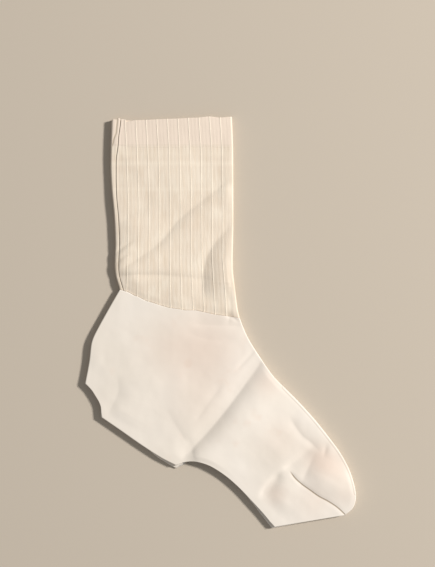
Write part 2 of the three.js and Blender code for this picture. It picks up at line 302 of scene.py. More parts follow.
def distance_to_line(line, x, y):
    """The distance in plan from each point to an open line, and the share along it."""
    best = np.full(x.shape, 1e9)
    where = np.zeros(x.shape)
    for i in range(len(line) - 1):
        a, run = line[i], line[i + 1] - line[i]
        length_sq = max(float(run @ run), 1e-12)
        t = np.clip(((x - a[0]) * run[0] + (y - a[1]) * run[1]) / length_sq, 0.0, 1.0)
        off = np.hypot(x - a[0] - t * run[0], y - a[1] - t * run[1])
        nearer = off < best
        best = np.where(nearer, off, best)
        where = np.where(nearer, i + t, where)
    return best, where


def offset_from(line, x, y):
    """The distance to the right of a line in plan (minus is left), the way along it, and its length."""
    points = [np.array(p, dtype=float) for p in line]
    lengths = [np.linalg.norm(b - a) for a, b in zip(points, points[1:])]
    total = sum(lengths)
    best = np.full(x.shape, 1e9)
    side = np.ones(x.shape)
    travel = np.zeros(x.shape)
    before = 0.0
    for i, (a, b) in enumerate(zip(points, points[1:])):
        run = (b - a) / lengths[i]
        along = (x - a[0]) * run[0] + (y - a[1]) * run[1]
        held = np.clip(along, 0.0, lengths[i])
        off = np.hypot(x - a[0] - held * run[0], y - a[1] - held * run[1])
        nearer = off < best
        best = np.where(nearer, off, best)
        side = np.where(nearer, np.sign((x - a[0]) * run[1] - (y - a[1]) * run[0]), side)
        open_start = (i == 0) * np.minimum(along, 0.0)
        open_end = (i == len(lengths) - 1) * np.maximum(along - lengths[i], 0.0)
        travel = np.where(nearer, before + held + (open_start + open_end), travel)
        before += lengths[i]
    return best * side, travel, total


def smooth_line(line, steps=4):
    points = [np.array(p, dtype=float) for p in line]
    return [curve_point(points, k / steps) for k in range((len(points) - 1) * steps + 1)]


FOLD_LINES = [smooth_line(fold[1]) for fold in FOLDS]


def folds_at(x, y):
    height = np.zeros(x.shape)
    for (_, _, west, east, dip, climb, upper), line in zip(FOLDS, FOLD_LINES):
        off, travel, total = offset_from(line, x, y)
        away = np.abs(off / east)
        up = 1.0 - np.exp(-(away**ONSET))
        left = -dip * np.exp(-((off / west) ** 2))
        right = (dip + climb) * up - dip
        right = np.where(right > 0, right * np.exp(-((away / SETTLE) ** 2)), right)
        fade = min(max(FADE * east, LEAST_FADE), 0.5 * total)
        ends = smooth(travel / fade) * smooth((total - travel) / fade)
        height += ends * mix(1.0, upper, np.clip(travel / total, 0.0, 1.0)) * np.where(off < 0, left, right)
    for _, at_x, at_y, radius, rise in SWELLS:
        height += rise * np.exp(-(((x - at_x) ** 2 + (y - at_y) ** 2) / radius**2))
    return height


# Slow, slight waves that stretch cloth keeps when it is laid down: height, cell size, seed
WAVES = [(0.30, 21.0, 3), (0.13, 9.5, 5), (0.03, 4.0, 8)]
NOISE_CELLS = 64
NOISE_SHIFT = (31.7, 31.3)  # keeps the plan's middle away from the pattern's edge


def soft_noise(x, y, cell, seed):
    """Smooth seeded bumps between -1 and 1, one for each cell of the plan."""
    draws = np.random.default_rng(seed).uniform(-1.0, 1.0, (NOISE_CELLS, NOISE_CELLS))
    u, v = x / cell + NOISE_SHIFT[0], y / cell + NOISE_SHIFT[1]
    i = np.floor(u).astype(int) % (NOISE_CELLS - 1)
    j = np.floor(v).astype(int) % (NOISE_CELLS - 1)
    s, t = smooth(u - np.floor(u)), smooth(v - np.floor(v))
    low = mix(draws[i, j], draws[i + 1, j], s)
    high = mix(draws[i, j + 1], draws[i + 1, j + 1], s)
    return mix(low, high, t)


def unevenness(x, y):
    return sum(height * soft_noise(x, y, cell, seed) for height, cell, seed in WAVES)


def top_lift(x, y, inset):
    """How far the top layer stands above its sewn level, all folds counted."""
    reach = 1.0 - np.exp(-np.maximum(inset, 0.0) / SWELL_REACH)
    free = mix(EDGE_SHARE, 1.0, smooth(inset / FREE_REACH))
    lift = mix(EDGE_LIFT, MIDDLE_LIFT, reach) + free * (folds_at(x, y) + unevenness(x, y))
    over = lift - LEAST_LIFT
    return LEAST_LIFT + 0.5 * (over + np.sqrt(over**2 + FLOOR_ROUNDING))


def grid_mesh(name, outer, inner, uv):
    """A closed wall between two grids of points, with a UV map in metres over the cloth."""
    rows, columns = outer.shape[:2]
    count = rows * columns
    points = np.concatenate([outer.reshape(-1, 3), inner.reshape(-1, 3)])
    index = np.arange(count).reshape(rows, columns)
    a, b, c, d = index[:-1, :-1], index[:-1, 1:], index[1:, 1:], index[1:, :-1]
    outer_faces = np.stack([a, b, c, d], axis=-1).reshape(-1, 4)
    inner_faces = np.stack([a, d, c, b], axis=-1).reshape(-1, 4) + count
    rim = []
    for i in range(rows - 1):
        rim.append([index[i, 0], index[i + 1, 0], index[i + 1, 0] + count, index[i, 0] + count])
        rim.append([index[i + 1, -1], index[i, -1], index[i, -1] + count, index[i + 1, -1] + count])
    for j in range(columns - 1):
        rim.append([index[0, j + 1], index[0, j], index[0, j] + count, index[0, j + 1] + count])
        rim.append([index[-1, j], index[-1, j + 1], index[-1, j + 1] + count, index[-1, j] + count])
    faces = np.concatenate([outer_faces, inner_faces, np.array(rim)])
    p0, p1, p2, p3 = (points[faces[:, k]] for k in range(4))
    volume = np.einsum("ij,ij->", p0, np.cross(p1, p2)) + np.einsum("ij,ij->", p0, np.cross(p2, p3))
    if volume < 0:
        faces = faces[:, ::-1]
    placed = points * MM + np.array([PLAN_SHIFT[0], PLAN_SHIFT[1], 0.0])
    mesh = bpy.data.meshes.new(name)
    mesh.from_pydata(placed.tolist(), [], faces.tolist())
    layer = mesh.uv_layers.new(name="cloth")
    flat = np.concatenate([uv.reshape(-1, 2), uv.reshape(-1, 2)]) * MM
    loops = np.empty(len(mesh.loops), dtype=np.int32)
    mesh.loops.foreach_get("vertex_index", loops)
    layer.data.foreach_set("uv", flat[loops].reshape(-1))
    mesh.polygons.foreach_set("use_smooth", [True] * len(mesh.polygons))
    mesh.update()
    return mesh


def add_attribute(mesh, name, values):
    """A float for each vertex, the same on both faces of the cloth."""
    attribute = mesh.attributes.new(name=name, type="FLOAT", domain="POINT")
    both = np.concatenate([values.reshape(-1), values.reshape(-1)])
    attribute.data.foreach_set("value", both.astype(np.float32))


def place(obj, node):
    """Puts a finished piece in the scene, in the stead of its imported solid."""
    bpy.context.scene.collection.objects.link(obj)
    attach(obj, "root")
    if node:
        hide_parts(node)
    return obj


# The stations of the back edge between which two panels are left open: heel notch and arch
OPEN_STRETCHES = [(4.0, 7.0), (11.0, 19.0)]
OPEN_EASE = 0.4  # stations over which a joined edge becomes an open one
EDGE_TURN = 0.6  # the cloth turns down over this much at a sewn edge
OPEN_TURN = 0.35  # and over this much at a cut edge
BOND_INSET = 1.9  # a bonded seam line runs this far inside the front edge
BOND_STRETCH = (8.5, 17.9)  # between these stations
RIM_INSETS = [0.0, 0.1, 0.25, 0.45, 0.75]  # columns close to each edge, to carry its turn
LAST_SECTIONS = [0.02, 0.05, 0.09]  # sections close to the last station, for the same reason
FOOT_SHELL = 0.75  # the foot's cloth is drawn this thick where there is room
LEAST_SHELL = 0.05
SEWN_GAP = 0.06  # a sewn edge comes this near to the other panel
FACE_GAP = 0.04  # and an inner face this near to the middle between the two
INNER_REACH = 4.0
DART_DEPTH = 0.3
DART_WIDTH = 1.6


def foot_grid(hidden, spacing, columns):
    """The plan of a foot panel, each point's distance from the edge, and how joined that edge is."""
    stations = []
    for i in range(int(LAST_STATION)):
        length = np.linalg.norm(back_edge(i + 1) - back_edge(i))
        steps = max(2, int(round(length / spacing)))
        stations += [i + k / steps for k in range(steps)]
    stations += [LAST_STATION]
    tail = [LAST_STATION - step for step in LAST_SECTIONS]
    stations = np.array(sorted(set(np.round(stations + tail, 5))))
    t = np.linspace(0, 1, columns)
    middle = 0.5 * t + 0.5 * (0.5 - 0.5 * np.cos(np.pi * t))
    back = np.array([back_point(s, hidden) for s in stations])
    front = np.array([front_edge(s) for s in stations])
    width = np.linalg.norm(front - back, axis=1)[:, None]
    rim = np.array(RIM_INSETS)[None, :] / width
    low, high = rim[:, -1:], 1 - rim[:, -1:]
    across = np.concatenate([rim[:, :-1], low + (high - low) * middle[None, :], 1 - rim[:, -2::-1]], axis=1)
    x = back[:, :1] * (1 - across) + front[:, :1] * across
    y = back[:, 1:] * (1 - across) + front[:, 1:] * across
    outline = np.concatenate([back, front[::-1]])
    inset, where = distance_to_line(outline, x, y)
    where = np.clip(where, 0, len(outline) - 1)
    station_of = np.concatenate([stations, np.full(len(stations), -1.0)])
    nearest = station_of[np.minimum(np.round(where).astype(int), len(outline) - 1)]
    joined = np.ones(x.shape)
    for low, high in OPEN_STRETCHES:
        near_open = smooth((nearest - low) / OPEN_EASE) * smooth((high - nearest) / OPEN_EASE)
        joined = np.where(nearest >= 0, np.minimum(joined, 1 - near_open), joined)
    dip = np.clip(1 - stations / ANKLE_REACH, 0, 1) ** 2
    y = y - dip[:, None] * table_value(ANKLE_DIP, across)
    return x, y, inset, joined


def face_marks(x, y, top):
    """For each point: how far the dart and the bonded seam are, and how strong the tint and the painted shade
    are.
    """
    nowhere, none = np.full(x.shape, FAR), np.zeros(x.shape)
    if not top:
        return {"dart": nowhere, "dart_on": none, "bond": nowhere, "stain": none}
    dart_off, travel, total = offset_from(smooth_line(TOE_DART), x, y)
    dart_on = smooth(travel / 6.0 + 0.2) * smooth((total - travel) / 3.0 + 1.0)
    tint = np.zeros(x.shape)
    # SHADES add painted shade for the toe's hollows and beside the instep into the same value as the pinker
    # places
    for at_x, at_y, radius, strength in TINTS + SHADES:
        tint += strength * np.exp(-(((x - at_x) ** 2 + (y - at_y) ** 2) / radius**2))
    front = np.array([front_edge(s) for s in np.linspace(*BOND_STRETCH, 60)])
    bond_off = distance_to_line(front, x, y)[0] - BOND_INSET
    return {"dart": dart_off, "dart_on": dart_on, "bond": bond_off, "stain": np.clip(tint, 0, 1)}


def foot_faces(inset, joined, body, base, over):
    """The heights of a foot panel's outer and inner faces."""
    half = WALL + SEAM_GAP / 2
    middle = base + half
    turn = np.clip(inset / EDGE_TURN, 0.0, 1.0)
    curl = np.sqrt(1.0 - (1.0 - turn) ** 2)
    lip = np.clip(inset / OPEN_TURN, 0.0, 1.0)
    open_drop = OPEN_TURN * (1.0 - np.sqrt(1.0 - (1.0 - lip) ** 2))
    if over:
        sewn = SEWN_GAP + (half + body - SEWN_GAP) * curl
        outer = middle + mix(half + body - open_drop, sewn, joined)
        least = middle + FACE_GAP + 0.5 * body * smooth(inset / INNER_REACH)
        inner = np.minimum(np.maximum(outer - FOOT_SHELL, least), outer - LEAST_SHELL)
        return outer, inner
    drop = mix(open_drop, (half - SEWN_GAP) * (1.0 - curl), joined)
    outer = middle - half + body + (drop if base > 0 else np.minimum(drop, OPEN_TURN))
    inner = np.maximum(np.minimum(outer + FOOT_SHELL, middle - FACE_GAP + body), outer + LEAST_SHELL)
    return outer, inner


def foot_sheet(name, node, base, hidden, over, spacing, columns, material):
    """One foot panel. "over" is true for the panel on top of its overshoe."""
    x, y, inset, joined = foot_grid(hidden, spacing, columns)
    top = over and not hidden
    marks = face_marks(x, y, top)
    body = HIDDEN_RISE * smooth(inset / EDGE_TAPER) * (over or base > 0)
    if top:
        body = top_lift(x, y, inset)
        body = body - DART_DEPTH * marks["dart_on"] * np.exp(-((marks["dart"] / DART_WIDTH) ** 2))
    outer, inner = foot_faces(inset, joined, body, base, over)
    outer_grid = np.stack([x, y, outer], axis=-1)
    inner_grid = np.stack([x, y, inner], axis=-1)
    mesh = grid_mesh(name, outer_grid, inner_grid, np.stack([x, y], axis=-1))
    for mark, values in marks.items():
        add_attribute(mesh, mark, values)
    mesh.materials.append(material)
    obj = bpy.data.objects.new(name, mesh)
    place(obj, node)
    return obj


class CuffRows:
    """The rows of the cuff laid flat, as columns of numbers, one row for each share of the way down."""

    def __init__(self, downs):
        self.down = np.array(downs, dtype=float)[:, None]
        self.back = np.array([cuff_back(d) for d in downs])
        self.front = np.array([cuff_front(d) for d in downs])
        run = self.front - self.back
        self.width = np.linalg.norm(run, axis=1)[:, None]
        self.along_x, self.along_y = run[:, :1] / self.width, run[:, 1:] / self.width
        self.back_x, self.back_y = self.back[:, :1], self.back[:, 1:]
        self.front_x = self.front[:, :1]
        self.hem = HEM_STEP * (1 - smooth((self.down - HEM_SHARE) / HEM_EASE))

    def plan(self, inset, tab=0.0):
        """The plan point at an inset from the back edge of each row."""
        share = np.clip(inset / self.width, 0, 1)
        dip = (1 - self.down) * table_value(TOP_DIP, share) + self.down * table_value(ANKLE_DIP, share)
        dip = dip + tab * np.exp(-self.down / TAB_DEPTH) * table_value(HEM_TAB, share)
        return self.back_x + self.along_x * inset, self.back_y + self.along_y * inset - dip


HEM_DEPTH = 21.0  # the turned hem reaches this far down
HEM_SHARE = 0.146  # which is this share of the cuff's height
HEM_EASE = 0.006
HEM_STEP = 0.14  # and stands up by this much
ANKLE_SETTLE = 0.5  # the cuff's lower edge is pulled down onto the foot
# share of the way down, inset of a second line beside the back seam
BACK_LINE = [(0, 4.9), (0.07, 4.2), (0.13, 2.0), (0.17, 0.4), (1, 0.0)]
# share across, dip: the ends of the hem's stitching stand up beside the back seam
HEM_TAB = [
    (0, 0), (0.035, 0), (0.06, -1.3), (0.077, -0.3), (0.083, -0.2),
    (0.112, -0.3), (0.12, 1.5), (0.128, 1.5), (0.19, 0.0), (1, 0),
]
TAB_DEPTH = 0.02  # the share of the cuff's height over which they die out
RIB_SINK = 0.2  # a rib's middle lies this far below the cloth's face
CUFF_TURN = WALL + SEAM_GAP / 2  # outer radius of the cuff's folds
CUFF_SHELL = 0.8
SETTLE_FROM = 0.955  # the cuff's edge starts to settle at this share of the way down
SEAM_STAND = 0.3  # the upper back seam's edge stands up by this much
SEAM_STAND_WIDTH = 2.2
SEAM_GROOVE = 0.25
SECOND_LEAST = 0.6  # the second line counts only where it is further in than this
END_EASE = 0.006  # the cuff's two ends are rounded over this share of its height
END_RADIUS = 0.3
EDGE_ROWS = [0.002, 0.005, 0.146, 0.152, 0.995, 0.998]  # close rows at the ends and the hem
SEAM_COLUMNS = [1.6, 1.1, 0.6, 0.3, 0.0]  # close columns beside the back seam


def cuff_level(x, y, inset, down, hidden):
    """How far the cuff's top face stands up at a point."""
    if hidden:
        return HIDDEN_RISE * smooth(inset / EDGE_TAPER)
    settle = ANKLE_SETTLE * smooth((down - SETTLE_FROM) / (1 - SETTLE_FROM))
    return np.maximum(top_lift(x, y, inset) - settle, LEAST_LIFT)


def cuff_columns(cuff, seam, near_columns, far_columns, fold_columns):
    """The columns from the back seam round to it again, each with its inset from the back fold,
    its reach into a fold's turn, how far up it is and whether it lies flat."""
    turn = CUFF_TURN
    angles = np.linspace(0, math.pi, fold_columns + 2)[1:-1][None, :]
    tight = seam + SEAM_GAP / 2 + np.array([SEAM_COLUMNS])

    def spread(low, high, count):
        return low + (high - low) * np.linspace(0, 1, count)[None, :]

    near = spread(seam - SEAM_GAP / 2, turn, 12)
    far = spread(turn, cuff.width - turn, far_columns)
    rest = np.concatenate([spread(cuff.width - turn, tight[:, :1] + 0.6, near_columns), tight], axis=1)
    stretches = [
        (near, 0.0, 1.0, True),
        (np.full_like(cuff.down, turn), -np.sin(angles), np.cos(angles), False),
        (far, 0.0, -1.0, True),
        (cuff.width - turn, np.sin(angles), -np.cos(angles), False),
        (rest, 0.0, 1.0, True),
    ]
    columns = [[], [], [], []]
    for inset, out, up, lies_flat in stretches:
        shape = np.broadcast(inset, out, up).shape
        for column, value in zip(columns, (inset, out, up, lies_flat)):
            column.append(np.broadcast_to(value, shape))
    return [np.concatenate(column, axis=1) for column in columns]


def seam_relief(cuff, insets, seam, second):
    """How far the cloth stands up beside the back seam, less its grooves."""
    off = insets - seam
    fading = 1 - smooth((cuff.down - 0.4) / 0.2)
    stand = SEAM_STAND * fading * (1 - smooth(off / SEAM_STAND_WIDTH))
    lip = np.where(off > 0, stand, 0) - SEAM_GROOVE * np.exp(-((off / 0.5) ** 2))
    beside = np.where(second > SECOND_LEAST, SEAM_GROOVE, 0)
    return lip - beside * np.exp(-(((insets - second) / 0.6) ** 2))


def cuff_sections(hidden, rows, *columns):
    """A cuff's outer and inner faces, its knit map, and how far its two seam lines are."""
    base = 0.0 if hidden else 2 * LAYER_STEP
    cuff = CuffRows(sorted(set(np.linspace(0, 1, rows)) | set(EDGE_ROWS)))
    seam = table_value(SEAM_INSET, cuff.down)
    second = table_value(BACK_LINE, cuff.down)
    insets, outs, ups, flat = cuff_columns(cuff, seam, *columns)
    top_face = flat & (ups > 0)
    shown = top_face & (not hidden)
    px, py = cuff.plan(insets)
    edge = np.maximum(np.minimum(insets, cuff.width - insets) - CUFF_TURN, 0)
    level = cuff_level(px, py, edge, cuff.down, hidden) * np.maximum(ups, 0)
    under_rise = (0.0 if hidden else HIDDEN_RISE) * smooth(edge / EDGE_TAPER)
    level = level + np.where(flat & ~top_face, under_rise, 0)
    level = level + np.where(shown, seam_relief(cuff, insets, seam, second), 0)
    end = np.clip(np.minimum(cuff.down, 1 - cuff.down) / END_EASE, 0, 1)
    end_round = END_RADIUS * (1 - np.sqrt(np.maximum(1 - (1 - end) ** 2, 0)))
    grids = []
    inner_radius = CUFF_TURN - CUFF_SHELL
    for radius, rounding, hem in ((CUFF_TURN, end_round, cuff.hem), (inner_radius, -end_round, 0.0)):
        x, y = cuff.plan(insets + outs * radius, 0.0 if hidden else 1.0)
        z = base + CUFF_TURN + ups * (radius - rounding) + level + np.where(shown, hem, 0)
        grids.append(np.stack([x, y, z], axis=-1))
    first, spacing = rib_row(py)
    rib = (px - first) / spacing
    rib = np.where(ups >= 0, rib, 2 * (cuff.front_x - first) / spacing - rib)
    uv = np.stack([rib, CUFF_BACK[0][2] - py], axis=-1)
    off_seam = np.where(shown, insets - seam, FAR)
    off_second = np.where(shown & (second > SECOND_LEAST), insets - second, FAR)
    return grids[0], grids[1], uv, off_seam, off_second


def cuff_sheet(name, node, hidden, detail, material):
    outer, inner, uv, seam, second = cuff_sections(hidden, *detail)
    mesh = grid_mesh(name, outer, inner, uv)
    add_attribute(mesh, "seam", seam)
    add_attribute(mesh, "second", second)
    add_attribute(mesh, "rib", uv[..., 0])
    add_attribute(mesh, "depth", uv[..., 1])
    mesh.materials.append(material)
    obj = bpy.data.objects.new(name, mesh)
    place(obj, node)
    return obj


def rib_row(height):
    """Where the first rib is at a height, and how far apart the ribs are."""
    heights, firsts, spacings = zip(*RIB_ROWS)
    return np.interp(height, heights, firsts), np.interp(height, heights, spacings)


def rib_lines():
    """The run of each rib down the top face of the upper cuff, in metres."""
    cuff = CuffRows(np.linspace(0.0, 1.0, 140))
    rib = np.arange(RIB_COUNT)[None, :]
    y = cuff.back_y + 0.0 * rib
    for _ in range(4):
        first, spacing = rib_row(y)
        x = first + rib * spacing + RIB_WANDER * np.sin(11 * cuff.down + 1.7 * rib)
        inset = (x - cuff.back_x) / cuff.along_x
        y = cuff.plan(inset)[1]
    edge = np.minimum(inset, cuff.width - inset) - CUFF_TURN
    level = cuff_level(x, y, edge, cuff.down, False)
    z = 2 * LAYER_STEP + 2 * CUFF_TURN + level + cuff.hem - RIB_SINK
    x, y = cuff.plan(inset, 1.0)
    placed = np.stack([x * MM + PLAN_SHIFT[0], y * MM + PLAN_SHIFT[1], z * MM], axis=-1)
    return [placed[:, k].tolist() for k in range(RIB_COUNT)]


def rib_tree(material):
    """Geometry Nodes that sweep a low half-round cord along each edge line of a mesh."""
    tree = bpy.data.node_groups.new("Knit ribs", "GeometryNodeTree")
    face = tree.interface
    face.new_socket("Geometry", in_out="INPUT", socket_type="NodeSocketGeometry")
    radius = face.new_socket("Rib radius", in_out="INPUT", socket_type="NodeSocketFloat")
    face.new_socket("Geometry", in_out="OUTPUT", socket_type="NodeSocketGeometry")
    nodes, links = tree.nodes, tree.links
    start = nodes.new("NodeGroupInput")
    end = nodes.new("NodeGroupOutput")
    to_curve = nodes.new("GeometryNodeMeshToCurve")
    profile = nodes.new("GeometryNodeCurvePrimitiveCircle")
    profile.inputs["Resolution"].default_value = 8
    sweep = nodes.new("GeometryNodeCurveToMesh")
    sweep.inputs["Fill Caps"].default_value = True
    shade = nodes.new("GeometryNodeSetShadeSmooth")
    real = nodes.new("GeometryNodeRealizeInstances")
    paint = nodes.new("GeometryNodeSetMaterial")
    paint.inputs["Material"].default_value = material
    links.new(start.outputs["Geometry"], to_curve.inputs["Mesh"])
    links.new(start.outputs["Rib radius"], profile.inputs["Radius"])
    links.new(to_curve.outputs["Curve"], sweep.inputs["Curve"])
    links.new(profile.outputs["Curve"], sweep.inputs["Profile Curve"])
    links.new(sweep.outputs["Mesh"], shade.inputs["Geometry"])
    links.new(shade.outputs["Geometry"], real.inputs["Geometry"])
    links.new(real.outputs["Geometry"], paint.inputs["Geometry"])
    links.new(paint.outputs["Geometry"], end.inputs["Geometry"])
    return tree, radius.identifier


def ribs(name, radius, material):
    points, edges = [], []
    for line in rib_lines():
        first = len(points)
        points += line
        edges += [(first + i, first + i + 1) for i in range(len(line) - 1)]
    mesh = bpy.data.meshes.new(name + "_lines")
    mesh.from_pydata(points, edges, [])
    guide = bpy.data.objects.new(name + "_lines", mesh)
    bpy.context.scene.collection.objects.link(guide)
    tree, identifier = rib_tree(material)
    modifier = guide.modifiers.new("Ribs", "NODES")
    modifier.node_group = tree
    modifier[identifier] = radius
    bpy.context.view_layer.update()
    graph = bpy.context.evaluated_depsgraph_get()
    result = bpy.data.meshes.new_from_object(guide.evaluated_get(graph))
    result.name = name
    guide.modifiers.remove(modifier)
    bpy.data.objects.remove(guide)
    obj = bpy.data.objects.new(name, result)
    place(obj, None)
    return obj


def srgb(red, green, blue):
    def linear(c):
        c /= 255.0
        return c / 12.92 if c <= 0.04045 else ((c + 0.055) / 1.055) ** 2.4

    return (linear(red), linear(green), linear(blue), 1.0)


def node_chain(name, roughness, sheen):
    material = bpy.data.materials.new(name)
    material.use_nodes = True
    nodes, links = material.node_tree.nodes, material.node_tree.links
    shader = nodes["Principled BSDF"]
    shader.inputs["Roughness"].default_value = roughness
    shader.inputs["Sheen Weight"].default_value = sheen
    shader.inputs["Sheen Roughness"].default_value = 0.5
    return material, nodes, links, shader


def mix_colour(nodes, links, factor, first, second):
    node = nodes.new("ShaderNodeMix")
    node.data_type = "RGBA"
    links.new(factor, node.inputs["Factor"])
    for socket, value in ((node.inputs["A"], first), (node.inputs["B"], second)):
        if isinstance(value, tuple):
            socket.default_value = value
        else:
            links.new(value, socket)
    return node.outputs["Result"]


def ramp(nodes, links, value, low, high):
    node = nodes.new("ShaderNodeMapRange")
    node.inputs["From Min"].default_value = low
    node.inputs["From Max"].default_value = high
    links.new(value, node.inputs["Value"])
    return node.outputs["Result"]


def noise_at(nodes, links, vector, scale, detail=3.0):
    node = nodes.new("ShaderNodeTexNoise")
    node.inputs["Scale"].default_value = scale
    node.inputs["Detail"].default_value = detail
    links.new(vector, node.inputs["Vector"])
    return node.outputs["Fac"]


def attribute(nodes, name):
    node = nodes.new("ShaderNodeAttribute")
    node.attribute_name = name
    return node.outputs["Fac"]


# millimetres below the top, half width, strength: courses where the knit is lighter
LIGHT_COURSES = [(36.0, 3.0, 0.28), (57.0, 2.5, 0.2), (28.0, 4.0, 0.12)]
COURSE_PITCH = 1.5


def math_node(nodes, links, operation, *values):
    node = nodes.new("ShaderNodeMath")
    node.operation = operation
    for socket, value in zip(node.inputs, values):
        if isinstance(value, (int, float)):
            socket.default_value = value
        else:
            links.new(value, socket)
    return node.outputs["Value"]


def line_mask(nodes, links, name, half_width):
    """One on the line where an attribute is nought, easing to nothing at a half width away."""
    off = math_node(nodes, links, "ABSOLUTE", attribute(nodes, name))
    node = nodes.new("ShaderNodeMapRange")
    node.interpolation_type = "SMOOTHSTEP"
    node.inputs["From Max"].default_value = half_width
    node.inputs["To Min"].default_value = 1.0
    node.inputs["To Max"].default_value = 0.0
    links.new(off, node.inputs["Value"])
    return node.outputs["Result"]


def band(nodes, links, value, centre, half_width, strength):
    """A soft band of a value, as strong as asked at its centre."""
    off = math_node(nodes, links, "ABSOLUTE", math_node(nodes, links, "SUBTRACT", value, centre))
    fall = math_node(nodes, links, "MULTIPLY", off, 1.0 / half_width)
    left = math_node(nodes, links, "SUBTRACT", 1.0, fall)
    return math_node(nodes, links, "MULTIPLY", math_node(nodes, links, "MAXIMUM", left, 0.0), strength)


def bump_on(nodes, links, height, strength, distance, below=None):
    node = nodes.new("ShaderNodeBump")
    node.inputs["Strength"].default_value = strength
    node.inputs["Distance"].default_value = distance
    links.new(height, node.inputs["Height"])
    if below is not None:
        links.new(below, node.inputs["Normal"])
    return node.outputs["Normal"]


def cuff_material(settings):
    """Matt rib knit: soft wales between the ribs, faint courses, a pinker turned hem."""
    material, nodes, links, shader = node_chain("Rib knit", 0.82, 0.2)
    rib = attribute(nodes, "rib")
    depth = attribute(nodes, "depth")
    where = nodes.new("ShaderNodeCombineXYZ")
    links.new(math_node(nodes, links, "MULTIPLY", rib, 8.6), where.inputs["X"])
    links.new(math_node(nodes, links, "MULTIPLY", depth, 0.1), where.inputs["Y"])
    streak = noise_at(nodes, links, where.outputs["Vector"], 0.55, 3.0)
    fine_streak = noise_at(nodes, links, where.outputs["Vector"], 1.6, 2.0)
    place_at = nodes.new("ShaderNodeTexCoord").outputs["Object"]
    blotch = noise_at(nodes, links, place_at, 55.0, 3.0)
    wave = math_node(nodes, links, "COSINE", math_node(nodes, links, "MULTIPLY", rib, 2 * math.pi * WALES))
    patches = ramp(nodes, links, blotch, 0.3, 0.7)
    base = mix_colour(nodes, links, patches, settings.cuff_dark, settings.cuff_light)
    base = mix_colour(nodes, links, ramp(nodes, links, streak, 0.42, 0.8), base, settings.cuff_shade)
    for centre, half_width, strength in LIGHT_COURSES:
        course = band(nodes, links, depth, centre, half_width, strength)
        base = mix_colour(nodes, links, course, base, settings.light_knit_and_rib_highlight)
    hem = ramp(nodes, links, depth, HEM_DEPTH + 2.0, HEM_DEPTH - 1.0)
    base = mix_colour(nodes, links, hem, base, settings.hem_tint)
    hem_line = band(nodes, links, depth, HEM_DEPTH, 0.7, 0.14)
    base = mix_colour(nodes, links, hem_line, base, settings.seam_tint)
    base = mix_colour(nodes, links, line_mask(nodes, links, "seam", 0.6), base, settings.seam_tint)
    base = mix_colour(nodes, links, line_mask(nodes, links, "second", 1.1), base, settings.seam_tint)
    links.new(base, shader.inputs["Base Color"])
    normal = bump_on(nodes, links, wave, 0.3, 0.00006)
    normal = bump_on(nodes, links, fine_streak, 0.5, 0.0002, normal)
    turns = math_node(nodes, links, "MULTIPLY", depth, 2 * math.pi / COURSE_PITCH)
    course = math_node(nodes, links, "SINE", turns)
    normal = bump_on(nodes, links, course, 0.1, 0.00003, normal)
    normal = bump_on(nodes, links, noise_at(nodes, links, place_at, 1400.0), 0.15, 0.0002, normal)
    links.new(normal, shader.inputs["Normal"])
    return material


def rib_material(settings):
    material, nodes, links, shader = node_chain("Rib cord", 0.75, 0.3)
    place_at = nodes.new("ShaderNodeTexCoord")
    blotch = noise_at(nodes, links, place_at.outputs["Object"], 60.0)
    patches = ramp(nodes, links, blotch, 0.3, 0.7)
    # The ribs are drawn lighter than the knit: a painted highlight on their tops
    base = mix_colour(nodes, links, patches, settings.cuff_light, settings.light_knit_and_rib_highlight)
    links.new(base, shader.inputs["Base Color"])
    bump = nodes.new("ShaderNodeBump")
    bump.inputs["Strength"].default_value = 0.2
    bump.inputs["Distance"].default_value = 0.0002
    links.new(noise_at(nodes, links, place_at.outputs["Object"], 1800.0), bump.inputs["Height"])
    links.new(bump.outputs["Normal"], shader.inputs["Normal"])
    return material


def foot_material(settings):
    """Smooth coated stretch cloth: a close knit under a faintly satin face, with slight tints and painted
    shade in the toe's hollows and beside the instep.
    """
    material, nodes, links, shader = node_chain("Coated stretch cloth", 0.52, 0.12)
    place_at = nodes.new("ShaderNodeTexCoord")
    vector = place_at.outputs["Object"]
    broad = noise_at(nodes, links, vector, 16.0, 2.0)
    fine = noise_at(nodes, links, vector, 70.0, 4.0)
    patches = ramp(nodes, links, broad, 0.35, 0.65)
    base = mix_colour(nodes, links, patches, settings.foot_dark, settings.foot_light)
    base = mix_colour(nodes, links, ramp(nodes, links, fine, 0.62, 0.95), base, settings.foot_blush)
    # Pinker places on the cloth and painted shade from SHADES, mixed in through one attribute
    base = mix_colour(nodes, links, attribute(nodes, "stain"), base, settings.foot_tint_and_shade)
    dart_line = line_mask(nodes, links, "dart", 1.0)
    dart = math_node(nodes, links, "MULTIPLY", dart_line, attribute(nodes, "dart_on"))
    bond = math_node(nodes, links, "MULTIPLY", line_mask(nodes, links, "bond", 0.7), 0.35)
    base = mix_colour(nodes, links, dart, base, settings.dart_tint)
    base = mix_colour(nodes, links, bond, base, settings.seam_tint)
    links.new(base, shader.inputs["Base Color"])
    groove = math_node(nodes, links, "MULTIPLY", math_node(nodes, links, "ADD", dart, bond), -1.0)
    normal = bump_on(nodes, links, groove, 0.6, 0.0003)
    normal = bump_on(nodes, links, noise_at(nodes, links, vector, 1600.0), 0.12, 0.0002, normal)
    links.new(normal, shader.inputs["Normal"])
    return material


COLOUR = {"size": 4, "subtype": "COLOR"}


